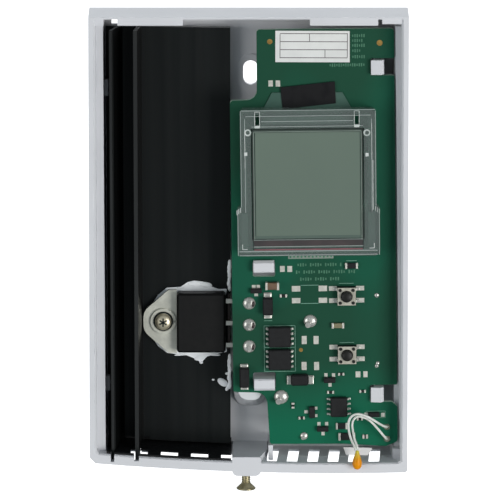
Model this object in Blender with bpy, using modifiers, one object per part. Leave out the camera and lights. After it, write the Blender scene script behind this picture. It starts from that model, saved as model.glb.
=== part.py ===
"""Electronic wall thermostat with its front cover off: the rear housing, the heat sink with its
power switch, and the circuit board with the display, two buttons and the sensor.

Lengths below are in millimetres. x runs to the right, z up, and d is the depth forward of the
wall, so a point is (x, -d, z). Board parts use u, v on the board, which sits slightly turned."""

from math import cos, pi, radians, sin, tan

import bmesh
import bpy
from mathutils import Matrix, Vector

MM = 0.001
WELD = 0.000002

# Housing
HALF_WIDTH = 39.3
BACK_DRAFT = 0.5
FLARE = 0.2
TOP = 57.2
BOTTOM = -56.87
BOTTOM_LOW_X = 22.0
BOTTOM_RADIUS = 720.0
DEPTH = 20.0
FLOOR = 2.0
LEDGE = 12.7
RIM = 2.5
SKIN = 0.4
# Board
BOARD_X, BOARD_Z, BOARD_TURN = 17.0, 1.0, radians(-0.75)
BOARD_BACK, BOARD_FRONT = 13.0, 14.6
SEAT = BOARD_FRONT + 0.05
# Heat sink and power switch
PLATE_BACK, PLATE_FRONT = 3.0, 5.5
TAB_FRONT, CASE_FRONT = 7.2, 10.3
TAB_HOLE = (-21.35, -20.85)
LEAD_Z = (-15.3, -20.9, -26.5)
LEAD_X = 0.15
# Sensor leads
LEAD_R = 0.32
# Captive screw
SCREW_X, SCREW_D = -0.65, 10.0
SCREW_R, HEAD_R, HEAD_Z, TIP_Z = 1.15, 2.45, -63.3, -56.1

# How an object lies when its own z runs along the depth, along z, or along x.
ALONG_D, ALONG_Z, ALONG_X = (pi / 2, 0, 0), (0, 0, 0), (pi / 2, 0, pi / 2)

MATERIALS = {
    "housing_plastic": ((0.66, 0.68, 0.72), 0.0, 0.45),
    "black_film": ((0.015, 0.016, 0.018), 0.0, 0.5),
    "anodised_aluminium": ((0.012, 0.013, 0.015), 0.6, 0.42),
    "bare_metal": ((0.62, 0.63, 0.64), 1.0, 0.35),
    "black_epoxy": ((0.02, 0.021, 0.023), 0.0, 0.5),
    "thermal_paste": ((0.85, 0.86, 0.87), 0.0, 0.6),
    "zinc_screw": ((0.55, 0.5, 0.32), 1.0, 0.35),
    "board_laminate": ((0.005, 0.12, 0.06), 0.0, 0.35),
    "label_paper": ((0.88, 0.88, 0.86), 0.0, 0.6),
    "clear_plastic": ((0.8, 0.84, 0.83), 0.0, 0.1),
    "display_glass": ((0.16, 0.19, 0.16), 0.0, 0.15),
    "flex_film": ((0.35, 0.42, 0.38), 0.0, 0.4),
    "switch_cover": ((0.75, 0.75, 0.74), 1.0, 0.3),
    "ceramic": ((0.3, 0.17, 0.1), 0.0, 0.5),
    "orange_ceramic": ((0.75, 0.4, 0.12), 0.0, 0.5),
    "bead_epoxy": ((0.85, 0.4, 0.05), 0.0, 0.3),
    "lead_insulation": ((0.86, 0.87, 0.84), 0.0, 0.4),
    "capacitor_film": ((0.6, 0.55, 0.12), 0.0, 0.4),
    "brass": ((0.7, 0.55, 0.25), 1.0, 0.3),
}


def clear_scene():
    for ob in list(bpy.data.objects):
        bpy.data.objects.remove(ob, do_unlink=True)


def collection(name, hidden=False):
    made = bpy.data.collections.new(name)
    made.hide_render = hidden
    bpy.context.scene.collection.children.link(made)
    return made


def empty(name, location, rotation=(0, 0, 0)):
    made = bpy.data.objects.new(name, None)
    made.location = Vector(location) * MM
    made.rotation_euler = rotation
    PARTS.objects.link(made)
    return made


clear_scene()
PARTS = collection("wall_thermostat")
CUTTERS = collection("cutters", hidden=True)
BOARD = empty("board_frame", (BOARD_X, 0, BOARD_Z), (0, BOARD_TURN, 0))


def material(slot):
    found = bpy.data.materials.get(slot)
    if found:
        return found
    color, metallic, roughness = MATERIALS[slot]
    made = bpy.data.materials.new(slot)
    made.use_nodes = True
    shader = made.node_tree.nodes["Principled BSDF"]
    shader.inputs["Base Color"].default_value = (*color, 1)
    shader.inputs["Metallic"].default_value = metallic
    shader.inputs["Roughness"].default_value = roughness
    return made


# ---------------------------------------------------------------- ways to make a piece
def add(name, data, slot, at, turned_by=ALONG_Z, on=None):
    """One object in its place. Without a slot it is a helper that cuts or joins another."""
    ob = bpy.data.objects.new(name, data)
    ob.location = Vector(at) * MM
    ob.rotation_euler = turned_by
    ob.parent = on
    if slot:
        PARTS.objects.link(ob)
        data.materials.append(material(slot))
    else:
        CUTTERS.objects.link(ob)
        ob.hide_render = True
        ob.display_type = "WIRE"
    return ob


def mesh_of(name, bm):
    mesh = bpy.data.meshes.new(name)
    bm.to_mesh(mesh)
    bm.free()
    mesh.shade_smooth()
    mesh.set_sharp_from_angle(angle=radians(35))
    return mesh


def box(name, slot, x, z, d, on=None, turn=0.0, chamfer=0.0):
    """A box from its limits in x, z and depth."""
    bm = bmesh.new()
    size = (x[1] - x[0], d[1] - d[0], z[1] - z[0], 1)
    bmesh.ops.create_cube(bm, size=MM, matrix=Matrix.Diagonal(size))
    at = ((x[0] + x[1]) / 2, -(d[0] + d[1]) / 2, (z[0] + z[1]) / 2)
    ob = add(name, mesh_of(name, bm), slot, at, (0, turn, 0), on)
    if chamfer:
        bevel = ob.modifiers.new("edges", "BEVEL")
        bevel.width = chamfer * MM
        bevel.segments = 1
    return ob


def boxes(name, limits):
    """Several boxes that stay clear of each other, as one helper."""
    bm = bmesh.new()
    for x0, x1, z0, z1, d0, d1 in limits:
        middle = Matrix.Translation(Vector((x0 + x1, -d0 - d1, z0 + z1)) * MM / 2)
        bmesh.ops.create_cube(bm, size=MM, matrix=middle @ Matrix.Diagonal((x1 - x0, d1 - d0, z1 - z0, 1)))
    return add(name, mesh_of(name, bm), None, (0, 0, 0))


def cylinder(name, slot, at, radius, length, lies=ALONG_D, on=None, sides=24):
    """A round bar about its middle."""
    bm = bmesh.new()
    bmesh.ops.create_cone(bm, cap_ends=True, segments=sides, radius1=radius * MM, radius2=radius * MM,
                          depth=length * MM)
    return add(name, mesh_of(name, bm), slot, at, lies, on)


def turned(name, slot, at, profile, lies=ALONG_Z, on=None, ring=False, steps=24):
    """A profile of (radius, height) turned about the object's own z. It runs top to bottom."""
    bm = bmesh.new()
    points = [bm.verts.new((r * MM, 0, h * MM)) for r, h in profile]
    for a, b in zip(points, points[1:] + points[:1] if ring else points[1:]):
        bm.edges.new((a, b))
    mesh = bpy.data.meshes.new(name)
    bm.to_mesh(mesh)
    bm.free()
    ob = add(name, mesh, slot, at, lies, on)
    screw = ob.modifiers.new("turned", "SCREW")
    screw.steps = screw.render_steps = steps
    screw.use_merge_vertices = True
    screw.merge_threshold = WELD
    screw.use_smooth_shade = True
    return ob


def sheet(name, slot, outlines, at, thickness, lies=ALONG_D, on=None):
    """Flat outlines made thick about their plane. An outline inside another is a hole in it."""
    curve = bpy.data.curves.new(name, "CURVE")
    curve.dimensions = "2D"
    curve.fill_mode = "BOTH"
    curve.extrude = thickness / 2 * MM
    curve.render_resolution_u = 0
    for outline in outlines:
        line = curve.splines.new("POLY")
        line.points.add(len(outline) - 1)
        line.use_cyclic_u = True
        for point, (a, b) in zip(line.points, outline):
            point.co = (a * MM, b * MM, 0, 1)
    return add(name, curve, slot, at, lies, on)


def plate(name, slot, outlines, d0, d1, centre=(0, 0), on=None):
    """A sheet that faces forward, with outlines in x and z and its origin at their centre."""
    x, z = centre
    local = [[(a - x, b - z) for a, b in outline] for outline in outlines]
    return sheet(name, slot, local, (x, -(d0 + d1) / 2, z), d1 - d0, on=on)


def bar(name, slot, profiles, z0, z1, on=None):
    """Profiles in x and depth, run upwards from z0 to z1."""
    flat = [[(x, -d) for x, d in profile] for profile in profiles]
    return sheet(name, slot, flat, (0, 0, (z0 + z1) / 2), z1 - z0, ALONG_Z, on)


def as_mesh(ob):
    """The same piece as a mesh with its caps welded, so that it can be cut or joined."""
    bpy.context.view_layer.update()
    shape = ob.evaluated_get(bpy.context.evaluated_depsgraph_get())
    mesh = bpy.data.meshes.new_from_object(shape)
    bm = bmesh.new()
    bm.from_mesh(mesh)
    bmesh.ops.remove_doubles(bm, verts=bm.verts, dist=WELD)
    bmesh.ops.recalc_face_normals(bm, faces=bm.faces)
    bm.to_mesh(mesh)
    bm.free()
    made = bpy.data.objects.new(ob.name, mesh)
    for owner in ob.users_collection:
        owner.objects.link(made)
    made.parent = ob.parent
    made.matrix_basis = ob.matrix_basis
    made.hide_render = ob.hide_render
    made.display_type = ob.display_type
    name = ob.name
    bpy.data.objects.remove(ob, do_unlink=True)
    made.name = name
    return made


def drawn_out(name, sections, slot=None):
    """A flat outline extruded through sections of (depth, outline)."""
    bm = bmesh.new()
    order = bm.verts.layers.int.new("order")
    places = [[Vector((x, -d, z)) * MM for x, z in outline] for d, outline in sections]
    for i, place in enumerate(places[0]):
        bm.verts.new(place)[order] = i
    end = bmesh.ops.contextual_create(bm, geom=bm.verts)["faces"]
    for i, section in enumerate(places[1:]):
        made = bmesh.ops.extrude_face_region(bm, geom=end)["geom"]
        if i:
            bmesh.ops.delete(bm, geom=end, context="FACES_ONLY")
        end = [item for item in made if isinstance(item, bmesh.types.BMFace)]
        for point in end[0].verts:
            point.co = section[point[order]]
    bmesh.ops.recalc_face_normals(bm, faces=bm.faces)
    return add(name, mesh_of(name, bm), slot, (0, 0, 0))


def wire(name, slot, points, radius):
    """A round wire through points (x, d, z)."""
    curve = bpy.data.curves.new(name, "CURVE")
    curve.dimensions = "3D"
    curve.bevel_depth = radius * MM
    curve.bevel_resolution = 2
    curve.use_fill_caps = True
    curve.resolution_u = 3
    curve.render_resolution_u = 0
    line = curve.splines.new("BEZIER")
    line.bezier_points.add(len(points) - 1)
    x0, d0, z0 = points[0]
    for knot, (x, d, z) in zip(line.bezier_points, points):
        knot.co = Vector((x - x0, d0 - d, z - z0)) * MM
        knot.handle_left_type = knot.handle_right_type = "AUTO"
    return add(name, curve, slot, (x0, -d0, z0))


def boolean(ob, other, operation="DIFFERENCE"):
    modifier = ob.modifiers.new(operation.lower(), "BOOLEAN")
    modifier.operation = operation
    modifier.solver = "EXACT"
    modifier.object = other


# ---------------------------------------------------------------- outlines
def circle(x, z, r, n=24):
    return [(x + r * cos(2 * pi * i / n), z + r * sin(2 * pi * i / n)) for i in range(n)]


def rectangle(x0, x1, z0, z1):
    return [(x0, z0), (x1, z0), (x1, z1), (x0, z1)]


def rounded(corners, n=4):
    """An outline with each corner (x, z, r) rounded to radius r."""
    points = []
    for i, (x, z, r) in enumerate(corners):
        p = Vector((x, z))
        if not r:
            points.append((x, z))
            continue
        a = (Vector(corners[i - 1][:2]) - p).normalized()
        b = (Vector(corners[(i + 1) % len(corners)][:2]) - p).normalized()
        half = a.angle(b) / 2
        start, end = p + a * r / tan(half), p + b * r / tan(half)
        middle = p + (a + b).normalized() * r / sin(half)
        for k in range(n + 1):
            q = start.lerp(end, k / n) - middle
            points.append(tuple(middle + q.normalized() * r))
    return points


def obround(x, z, width, length, n=8):
    r, reach = width / 2, (length - width) / 2
    top = [(x + r * cos(pi * i / n), z + reach + r * sin(pi * i / n)) for i in range(n + 1)]
    low = [(x - r * cos(pi * i / n), z - reach - r * sin(pi * i / n)) for i in range(n + 1)]
    return top + low


def bottom(x):
    """The outer edge of the bottom wall, a shallow arc."""
    return BOTTOM + (x - BOTTOM_LOW_X) ** 2 / (2 * BOTTOM_RADIUS)


def tray_outline(half, top, up, left_cut=0.6, right_cut=0.6, n=12):
    """Sides that spread a little downwards, and a bottom edge that follows the arc at a height above it."""
    low_half = half + FLARE
    left, right = -low_half + left_cut, low_half - right_cut
    low = [right + (left - right) * i / n for i in range(n + 1)]
    return (
        [(FLARE - half, top), (half - FLARE, top), (low_half, bottom(right) + up + right_cut)]
        + [(x, bottom(x) + up) for x in low]
        + [(-low_half, bottom(left) + up + left_cut)]
    )


# ---------------------------------------------------------------- housing and heat sink
FINS = ([(-31.9, 5.0), (-31.1, 5.0), (-33.5, 17.0), (-34.15, 17.0)],
        [(-27.45, 5.0), (-26.45, 5.0), (-27.35, 15.6), (-28.3, 15.6)])
FIN_ENDS = ((-53.95, 53.6), (-54.6, 53.4))


def fin_notch(name, fin, gap, back, end, front=21.0):
    """Room for the lower end of a fin, open to the front unless it stops short of it."""
    (a, d0), (b, _), (c, d1), (e, _) = FINS[fin]
    t = (back - d0) / (d1 - d0)
    left, right = a + (e - a) * t - gap, b + (c - b) * t + gap
    outline = [(left, back), (right, back), (c + gap, d1), (c + gap, front), (e - gap, front), (e - gap, d1)]
    return as_mesh(bar(name, None, [outline], end, -49.0))


def sink_slots(name, d0, d1):
    """The four wide air slots under the heat sink."""
    slots = []
    for i in range(4):
        x = -27.3 + 7.53 * i
        slots.append([(x - 2.15, d0), (x + 2.15, d0), (x + 2.15, d1), (x - 2.15, d1)])
    return as_mesh(bar(name, None, slots, -59.0, -50.0))


def rear_housing():
    rear = tray_outline(HALF_WIDTH + BACK_DRAFT, TOP, 0, 1.4, 0.5)
    front = tray_outline(HALF_WIDTH, TOP, 0, 1.4, 0.5)
    housing = drawn_out("rear_housing", [(0, rear), (DEPTH, front)], "housing_plastic")

    walls = ((DEPTH + 1, 38.1, 56.7, 2.2), (DEPTH, 38.05, 56.7, 2.2), (DEPTH - 0.5, 37.55, 56.65, RIM),
             (LEDGE, 37.45, 56.65, RIM + 0.05), (LEDGE, 36.1, 56.5, RIM + 0.1), (FLOOR, 36.05, 56.45, RIM + 0.2))
    boolean(housing, drawn_out("cavity", [(d, tray_outline(half, top, up)) for d, half, top, up in walls]))

    # Behind its front bead the bottom wall is only a skin, so that the air slots stay short.
    under = [(-24.6, bottom(-24.6) - 3), (41.0, bottom(41) - 3)]
    under += [(x, bottom(x) + RIM - SKIN) for x in (41, 35, 29, 23, 17, 11, 5, -1, -7, -13, -19, -24.6)]
    thicker = [(-24.6, bottom(-24.6) - 3), (-24.6, bottom(-24.6) + RIM - 0.9), (-31.0, bottom(-31) + RIM - 0.9),
               (-31.0, bottom(-31) - 3)]
    boolean(housing, as_mesh(plate("underside_relief_left", None, [thicker], -1, 15.5)))
    boolean(housing, as_mesh(plate("underside_relief", None, [under], -1, 15.5)))

    # The slots under the board lean back as they go down, so their far ends are out of sight.
    slanted = []
    for i in range(6):
        x = 4.3 + 5.1 * i
        slanted.append([(x, 17.7), (x + 2.7, 17.7), (x + 3.4, 6.5), (x + 0.7, 6.5)])
    leaning = bar("board_air_slots", None, [[(x, d - 12) for x, d in slot] for slot in slanted], -58.2, -50.2)
    leaning.location = Vector((0, -12, -54.2)) * MM
    leaning.rotation_euler = (radians(25), 0, 0)
    boolean(housing, as_mesh(leaning))
    boolean(housing, sink_slots("sink_air_slots", 11, 18.4))
    boolean(housing, box("top_slot", None, (-34.05, -32.45), (53.3, 54.85), (-1, FLOOR + 1)))
    boolean(housing, fin_notch("outer_fin_notch", 0, 0.12, 5.0, FIN_ENDS[0][0] - 0.1))
    boolean(housing, fin_notch("inner_fin_notch", 1, 0.12, 5.0, FIN_ENDS[1][0] + 0.8))
    boolean(housing, fin_notch("inner_fin_pocket", 1, 0.12, 12.3, FIN_ENDS[1][0] - 0.1, 15.72))

    ribs = [(-32.0, -16.0, 55.15, 56.9, 1, 19.7), (15.0, 31.6, 55.15, 56.9, 1, 19.7),
            (32.6, 38.4, 55.5, 56.9, 1, 19.5), (-38.4, -35.4, 55.15, 56.9, 1, 19.7),
            (4.95, 6.1, bottom(5) + 2, -50.9, 1, 15.0), (-38.0, -35.65, -52.3, 54.9, 1, 16.2)]
    boolean(housing, boxes("ribs", ribs), "UNION")
    boolean(housing, boxes("clips", [(-37.0, -34.65, 36.55, 40.5, 8.0, 10.6), (-37.0, -34.65, -37.9, -34.2, 8.0, 10.6)]),
            "UNION")
    edge = [(35.95, 54.5), (38.4, 54.5), (38.4, -44.0), (37.5, -44.0)]
    boolean(housing, as_mesh(plate("board_edge_ledge", None, [edge], 1, 16.2)), "UNION")
    boolean(housing, box("corner_ledge", None, (36.0, 38.4), (-54.6, -51.7), (1, 15.5)), "UNION")
    boolean(housing, as_mesh(plate("mounting_boss", None, [obround(0.5, 41.1, 7.0, 9.6)], 1, 2.4)), "UNION")

    # A post with sloping sides carries the board's lower left corner.
    foot = rounded([(-4.0, -35.0, 0), (-4.0, -43.6, 3.2), (4.4, -43.6, 3.2), (4.4, -35.0, 0)])
    head = rounded([(-2.5, -36.0, 0), (-2.5, -39.8, 2.2), (3.3, -39.8, 2.2), (3.3, -36.0, 0)])
    boolean(housing, drawn_out("board_post", [(1.2, foot), (2.4, foot), (12.6, head)]), "UNION")

    # Four hooks hold the board, each with its head over the edge of it.
    for i, (u, v0, v1) in enumerate(((14.4, 41.35, 44.9), (13.75, -40.9, -37.2))):
        side = [(u, 1), (u + 2.4, 1), (u + 2.4, 15.4), (u + 1.6, 16.2), (u - 0.8, 15.8), (u - 0.8, 14.95),
                (u, 14.85)]
        boolean(housing, as_mesh(bar(f"side_hook_{i + 1}", None, [side], v0, v1, BOARD)), "UNION")
    for i, (u, v, way) in enumerate(((-13.3, -7.7, 1), (-13.5, -34.6, -1))):
        side = [(v, 1), (v + 2.3 * way, 1), (v + 2.3 * way, 14.85), (v + 3.0 * way, 14.95), (v + 3.0 * way, 15.6),
                (v + 2.4 * way, 16.3), (v + 0.3 * way, 16.3), (v, 15.9)]
        local = [(-d, height) for height, d in side]
        hook = sheet(f"slot_hook_{i + 1}", None, [local], (u, 0, 0), 5.15, ALONG_X, BOARD)
        boolean(housing, as_mesh(hook), "UNION")

    boss = [(-4.1, -52.8, 0.4), (3.1, -52.8, 0.4), (3.1, -57.6, 1.4), (-4.1, -57.6, 1.4)]
    boolean(housing, as_mesh(plate("screw_boss", None, [rounded(boss)], 1.5, DEPTH)), "UNION")
    shoulder = [(2.0, 1), (4.7, 1), (4.7, 11.5), (3.1, 18.5), (2.0, 19.5)]
    boolean(housing, as_mesh(bar("boss_shoulder", None, [shoulder], -56.2, -52.8)), "UNION")
    bore = [(0, -53.2), (2.6, -53.2), (2.6, -57.1), (1.5, -57.1), (1.5, -59), (0, -59)]
    boolean(housing, turned("screw_bore", None, (SCREW_X, -SCREW_D, 0), bore))

    keyhole = plate("wall_slot", None, [obround(0.5, 41.2, 3.7, 6.15), rectangle(10, 30, -22, -6),
                                        circle(2.0, -31.0, 1.9)], -1, FLOOR + 1.5)
    boolean(housing, as_mesh(keyhole))


def vent_liner():
    """Black film on the inside of the bottom wall, under the heat sink."""
    folds = ((19.2, 0.12), (LEDGE + 0.35, 0.25), (LEDGE - 0.1, 0.3), (6.0, 0.4), (2.9, 0.45), (2.45, 2.1))
    bm = bmesh.new()
    bmesh.ops.create_grid(bm, x_segments=8, y_segments=len(folds) - 1, size=0.5)
    for point in bm.verts:
        x = -35.3 + 30.95 * (point.co.x + 0.5)
        d, gap = folds[round((point.co.y + 0.5) * (len(folds) - 1))]
        point.co = Vector((x, -d, bottom(x) + RIM + gap)) * MM
    liner = add("vent_liner", mesh_of("vent_liner", bm), "black_film", (0, 0, 0))
    shell = liner.modifiers.new("thickness", "SOLIDIFY")
    shell.thickness = 0.35 * MM
    shell.offset = 1.0
    boolean(liner, sink_slots("liner_slots", 14.3, 18.4))
    for fin in (0, 1):
        boolean(liner, fin_notch(f"liner_notch_{fin + 1}", fin, 0.2, 12.2, -56.0))


def heat_sink():
    outline = [(-35.3, bottom(-35.3) + 3.7), (-20, bottom(-20) + 3.7), (-4.55, bottom(-5) + 3.7),
               (-4.55, 52.8), (-35.3, 53.3)]
    sink = as_mesh(plate("heat_sink", "anodised_aluminium", [outline, circle(*TAB_HOLE, 1.6)],
                         PLATE_BACK, PLATE_FRONT, (-20.1, 0)))
    for fin, (low, high) in enumerate(FIN_ENDS):
        boolean(sink, as_mesh(bar(f"fin_{fin + 1}", None, [FINS[fin]], low, high)), "UNION")
    boolean(sink, box("sink_foot_cut", None, (-36, -25), (-60, -50.9), (0, 12.5)))


def power_switch():
    """The triac, its screw and washer, and the paste squeezed out from under it."""
    x, z = TAB_HOLE
    outline = rounded([(-18.0, -13.0, 0), (-20.1, -13.0, 1.2), (-26.3, -18.4, 3.4), (-26.3, -23.4, 3.4),
                       (-20.1, -29.0, 1.2), (-18.0, -29.0, 0)])
    plate("triac_tab", "bare_metal", [outline, circle(x, z, 1.7)], 5.8, TAB_FRONT, TAB_HOLE)
    box("triac_body", "black_epoxy", (-17.9, -5.75), (-28.35, -13.3), (5.85, CASE_FRONT), chamfer=0.5)
    for i, z_lead in enumerate(LEAD_Z):
        bent = [(-5.65, 9.0), (LEAD_X + 0.3, 9.0), (LEAD_X + 0.3, 15.4), (LEAD_X - 0.3, 15.4),
                (LEAD_X - 0.3, 9.6), (-5.65, 9.6)]
        bar(f"triac_lead_{i + 1}", "bare_metal", [bent], z_lead - 0.55, z_lead + 0.55)

    profile = [(0, 9.25), (0.6, 9.2), (1.5, 9.0), (2.0, 8.4), (2.0, 7.95), (1.4, 7.95), (1.4, 3.6), (0, 3.6)]
    screw = turned("triac_screw", "bare_metal", (x, 0, z), profile, ALONG_D)
    for letter, turn in (("a", 0.5), ("b", 0.5 + pi / 2)):
        boolean(screw, box(f"screw_slot_{letter}", None, (x - 1.15, x + 1.15), (z - 0.22, z + 0.22),
                           (8.5, 10), turn=turn))
    section = [(3.2, 7.7), (3.2, TAB_FRONT + 0.05), (1.65, TAB_FRONT + 0.05), (1.65, 7.85)]
    turned("triac_washer", "bare_metal", (x, 0, z), section, ALONG_D, ring=True, steps=28)

    spread = rounded([(-20.5, -12.65, 0.8), (-17.0, -12.4, 1.0), (-15.2, -11.2, 1.2), (-13.6, -10.85, 1.0),
                      (-11.4, -11.1, 1.0), (-9.4, -12.3, 1.0), (-7.4, -13.0, 0.6), (-5.4, -12.9, 0.3),
                      (-6.0, -16.0, 0.3), (-6.0, -26.0, 0.3), (-5.4, -29.0, 0.3), (-8.6, -29.7, 0.8),
                      (-10.4, -30.2, 0.7), (-11.9, -31.8, 0.6), (-13.6, -30.7, 0.8), (-15.6, -29.9, 0.8),
                      (-20.4, -29.3, 0.8), (-22.7, -27.6, 0.8), (-24.3, -25.0, 0), (-24.3, -17.0, 0),
                      (-22.7, -14.5, 0.8)], 3)
    plate("thermal_paste", "thermal_paste", [spread, circle(x, z, 1.9)], 5.55, 5.75, TAB_HOLE)


def captive_screw():
    """The cover screw. A ring pressed on it keeps it in the boss when it is undone."""
    axis = (SCREW_X, -SCREW_D, 0)
    profile = [(0, TIP_Z), (0.7, TIP_Z), (SCREW_R, TIP_Z - 0.4), (SCREW_R, -61.9), (HEAD_R, HEAD_Z + 0.25),
               (HEAD_R, HEAD_Z), (0, HEAD_Z)]
    screw = turned("captive_screw", "zinc_screw", axis, profile, steps=28)
    boolean(screw, box("head_slot", None, (SCREW_X - 1.9, SCREW_X + 1.9), (HEAD_Z - 1, HEAD_Z + 0.7),
                       (SCREW_D - 0.3, SCREW_D + 0.3)))
    section = [(2.25, -56.45), (2.25, -57.05), (SCREW_R + 0.06, -57.05), (SCREW_R + 0.06, -56.45)]
    turned("captive_ring", "black_film", axis, section, ring=True, steps=28)


# ---------------------------------------------------------------- circuit board
def circuit_board():
    corners = [(-14.4, 52.7, 0.8), (19.3, 52.6, 0.8), (19.35, 45.25, 0.4), (13.5, 45.25, 0.4),
               (13.5, 41.0, 0.4), (19.35, 41.0, 0.4), (19.5, -36.75, 0.4), (12.7, -36.75, 0.4),
               (12.7, -41.1, 0.4), (18.2, -41.1, 0.5), (19.55, -42.3, 0.6), (19.55, -51.3, 1.2),
               (16.6, -52.4, 1.2), (6.3, -51.7, 3.0), (-12.35, -51.5, 0.7), (-13.0, -38.4, 2.7),
               (-21.3, -38.1, 0.6), (-21.15, 35.2, 0.8), (-14.5, 35.35, 2.4)]
    upper = [(-16.05, -8.95, 0.4), (-10.55, -8.95, 0.4), (-10.55, -5.1, 0.4), (-16.05, -5.1, 0.4)]
    lower = [(-16.3, -37.2, 0.4), (-10.7, -37.2, 0.4), (-10.7, -33.2, 0.4), (-16.3, -33.2, 0.4)]
    holes = [rounded(upper), rounded(lower)]
    to_board = Matrix.Rotation(-BOARD_TURN, 4, "Y") @ Matrix.Translation((-BOARD_X, 0, -BOARD_Z))
    for z in LEAD_Z:
        u, _, v = to_board @ Vector((LEAD_X, 0, z))
        holes.append(circle(u, v, 0.8, 12))
    plate("circuit_board", "board_laminate", [rounded(corners)] + holes, BOARD_BACK, BOARD_FRONT, on=BOARD)

    label = [(-9.85, 44.65), (8.4, 44.35), (8.45, 52.1), (-9.75, 52.4)]
    plate("board_label", "label_paper", [label], SEAT, SEAT + 0.1, (-0.5, 48.4), BOARD)
    flex = [(-13.2, 32.7), (9.0, 32.5), (6.5, 37.0), (-10.8, 37.1)]
    plate("lcd_flex", "flex_film", [flex], SEAT, SEAT + 0.25, (-2.1, 34.8), BOARD)
    tape = [(-8.2, 33.0), (4.9, 34.3), (4.7, 39.7), (-8.7, 38.4)]
    plate("flex_tape", "black_film", [tape], SEAT + 0.3, SEAT + 0.45, (-1.9, 36.3), BOARD)


def display():
    """A clear holder over the board, with the display stack in its window."""
    outline = [(-18.75, 33.5, 1.0), (14.6, 33.2, 1.0), (14.6, 9.3, 0.2), (15.4, 8.7, 0.2), (15.4, -3.1, 1.2),
               (-19.7, -2.9, 1.2), (-19.7, 8.8, 0.2), (-18.75, 9.4, 0.2)]
    windows = [rectangle(-16.1, 11.6, 1.1, 28.8), rectangle(-15.15, -13.9, 29.4, 32.3),
               rectangle(9.3, 10.45, 29.3, 32.2)]
    holder = as_mesh(plate("lcd_holder", "clear_plastic", [rounded(outline, 3)] + windows, SEAT + 0.15, 19.2,
                           (-2.25, 14.95), BOARD))
    passage = plate("flex_passage", None, [rectangle(-13.6, 9.15, 31.9, 34.5)], 12, SEAT + 0.6, on=BOARD)
    boolean(holder, as_mesh(passage))
    hollows = [rectangle(-18.6, -17.1, -1.7, 7.6), rectangle(-17.7, -17.1, 9.9, 31.9),
               rectangle(12.6, 14.3, -1.7, 7.6), rectangle(12.6, 13.6, 9.9, 31.9),
               rectangle(-15.8, 11.3, -1.8, 0.1), rectangle(-12.8, 8.2, 29.8, 31.5)]
    boolean(holder, as_mesh(plate("holder_hollows", None, hollows, 12, 18.2, on=BOARD)))

    for name, slot, inset, d0, d1 in (
        ("lcd_reflector", "label_paper", 0.35, SEAT + 0.2, 16.6),
        ("lcd_glass", "display_glass", 0.2, 16.7, 18.9),
        ("lcd_polariser", "display_glass", 1.0, 18.95, 19.15),
    ):
        box(name, slot, (-16.1 + inset, 11.6 - inset), (1.1 + inset, 28.8 - inset), (d0, d1), BOARD)


def switch(side, u, v):
    """A four-legged tactile switch: base, metal cover, plunger and the snap dome under it."""
    base = box(f"{side}_switch_base", "black_epoxy", (u - 2.3, u + 2.3), (v - 2.3, v + 2.3), (SEAT, 16.25), BOARD)
    boolean(base, cylinder(f"{side}_switch_well", None, (u, -16.05, v), 1.9, 1.9, on=BOARD))
    cover = box(f"{side}_switch_cover", "switch_cover", (u - 2.25, u + 2.25), (v - 2.2, v + 2.2), (16.3, 16.55),
                BOARD)
    boolean(cover, cylinder(f"{side}_cover_hole", None, (u, -16.5, v), 1.5, 3, on=BOARD))
    stem = [(0, 17.65), (1.15, 17.65), (1.32, 17.5), (1.32, 16.1), (1.75, 16.1), (1.75, 15.75), (0, 15.75)]
    turned(f"{side}_switch_plunger", "black_epoxy", (u, 0, v), stem, ALONG_D, BOARD)
    dome = [(0, 15.45), (0.5, 15.43), (1.2, 15.38), (1.75, 15.2), (1.75, 15.15), (0, 15.15)]
    turned(f"{side}_switch_dome", "bare_metal", (u, 0, v), dome, ALONG_D, BOARD)


def case(name, u, v, width, height, thick, slot="black_epoxy", chamfer=0.15):
    """A moulded component body on the board."""
    box(name, slot, (u - width / 2, u + width / 2), (v - height / 2, v + height / 2), (SEAT, SEAT + thick),
        BOARD, chamfer=chamfer)


def board_parts():
    case("optocoupler_upper", -9.6, -24.0, 5.6, 5.1, 2.0, chamfer=0.25)
    case("optocoupler_lower", -9.65, -29.75, 5.6, 5.1, 2.0, chamfer=0.25)
    case("control_ic", 4.95, -42.05, 4.1, 4.9, 1.6, chamfer=0.2)
    case("rectifier_upper", -12.45, -16.2, 2.5, 4.4, 2.1, chamfer=0.3)
    case("rectifier_lower", -4.75, -34.95, 4.3, 2.7, 2.1, chamfer=0.3)
    case("rectifier_left", -18.5, -34.2, 2.4, 5.0, 2.1, chamfer=0.3)
    case("ceramic_capacitor", -11.3, -11.15, 3.2, 1.75, 1.6, "ceramic")
    case("orange_capacitor", 4.9, -21.45, 2.9, 1.25, 0.8, "orange_ceramic")
    case("transistor_upper", -15.3, -12.4, 2.8, 1.2, 1.0)
    case("transistor_middle", 2.7, -35.25, 2.9, 1.35, 1.0)
    case("transistor_centre", -1.75, -43.4, 1.5, 2.9, 1.0)
    case("transistor_lower", 0.85, -47.7, 2.9, 1.3, 1.0)
    case("signal_diode", 13.7, -44.2, 2.8, 1.2, 1.0)
    case("fuse_resistor", 8.4, -6.4, 3.0, 1.4, 0.6, chamfer=0.08)
    case("sense_resistor", 6.85, -49.75, 4.0, 1.8, 0.6, chamfer=0.08)


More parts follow.
